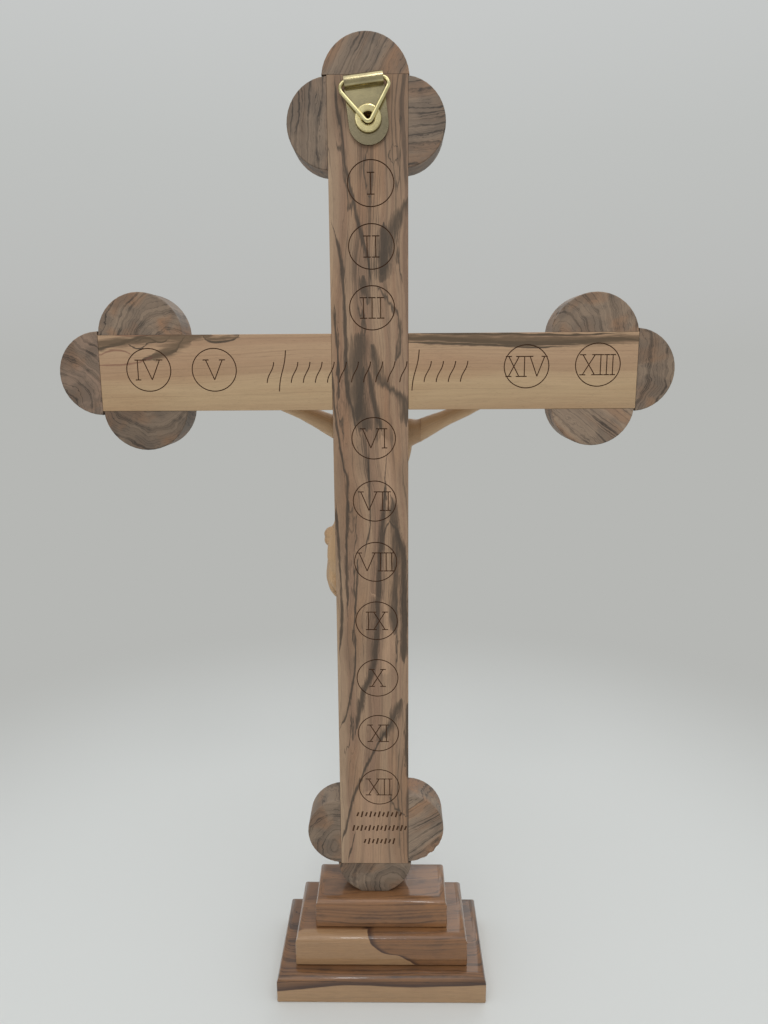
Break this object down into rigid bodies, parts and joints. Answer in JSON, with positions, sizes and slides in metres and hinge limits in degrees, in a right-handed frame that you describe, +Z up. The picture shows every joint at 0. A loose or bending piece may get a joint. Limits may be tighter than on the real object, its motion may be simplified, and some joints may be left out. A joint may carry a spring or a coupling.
{
  "type": "standing crucifix",
  "caption": "Olive-wood crucifix with trefoil ends and a carved figure, standing on a three-step base, with a brass hanging ring on its back.",
  "frame": {"origin": "middle of the base's underside, on the surface that the crucifix stands on", "axes": "+Z up along the cross, +X along the crossbar to the right as seen from the front, -Y the way the figure faces, so the hanger is on the +Y side"},
  "size_m": [0.2046, 0.05, 0.3334],
  "materials": {
    "upright_wood": "fine sanded, matte, dark streaked olive wood",
    "crossbar_wood": "fine sanded, matte, pale straight-grained olive wood",
    "lobe_wood": "fine sanded, matte, curly dark olive wood",
    "base_wood": "glossy clear varnish over reddish brown olive wood",
    "figure_wood": "carved and sanded pale olive wood, satin",
    "brass": "bright stamped sheet and wire, lightly tarnished"
  },
  "bodies": {
    "crucifix": {"upright": "upright_wood", "crossbar": "crossbar_wood", "lobe_top_tip": "lobe_wood", "lobe_top_left": "lobe_wood", "lobe_top_right": "lobe_wood", "lobe_foot_tip": "lobe_wood", "lobe_foot_left": "lobe_wood", "lobe_foot_right": "lobe_wood", "lobe_left_tip": "lobe_wood", "lobe_left_upper": "lobe_wood", "lobe_left_lower": "lobe_wood", "lobe_right_tip": "lobe_wood", "lobe_right_upper": "lobe_wood", "lobe_right_lower": "lobe_wood", "base_bottom": "base_wood", "base_middle": "base_wood", "base_top": "base_wood", "corpus": "figure_wood", "corpus_arm_left": "figure_wood", "corpus_arm_right": "figure_wood", "hanger_plate": "brass", "hanger_rivet": "brass"},
    "ring": {"hanger_ring": "brass"}
  },
  "joints": [
    {"name": "ring_swing", "type": "hinge", "parent": "crucifix", "child": "ring", "pos_m": [0.0035, 0.00865, 0.31892], "axis": [0.993, 0, -0.1184], "range_deg": [0, 178]}
  ]
}
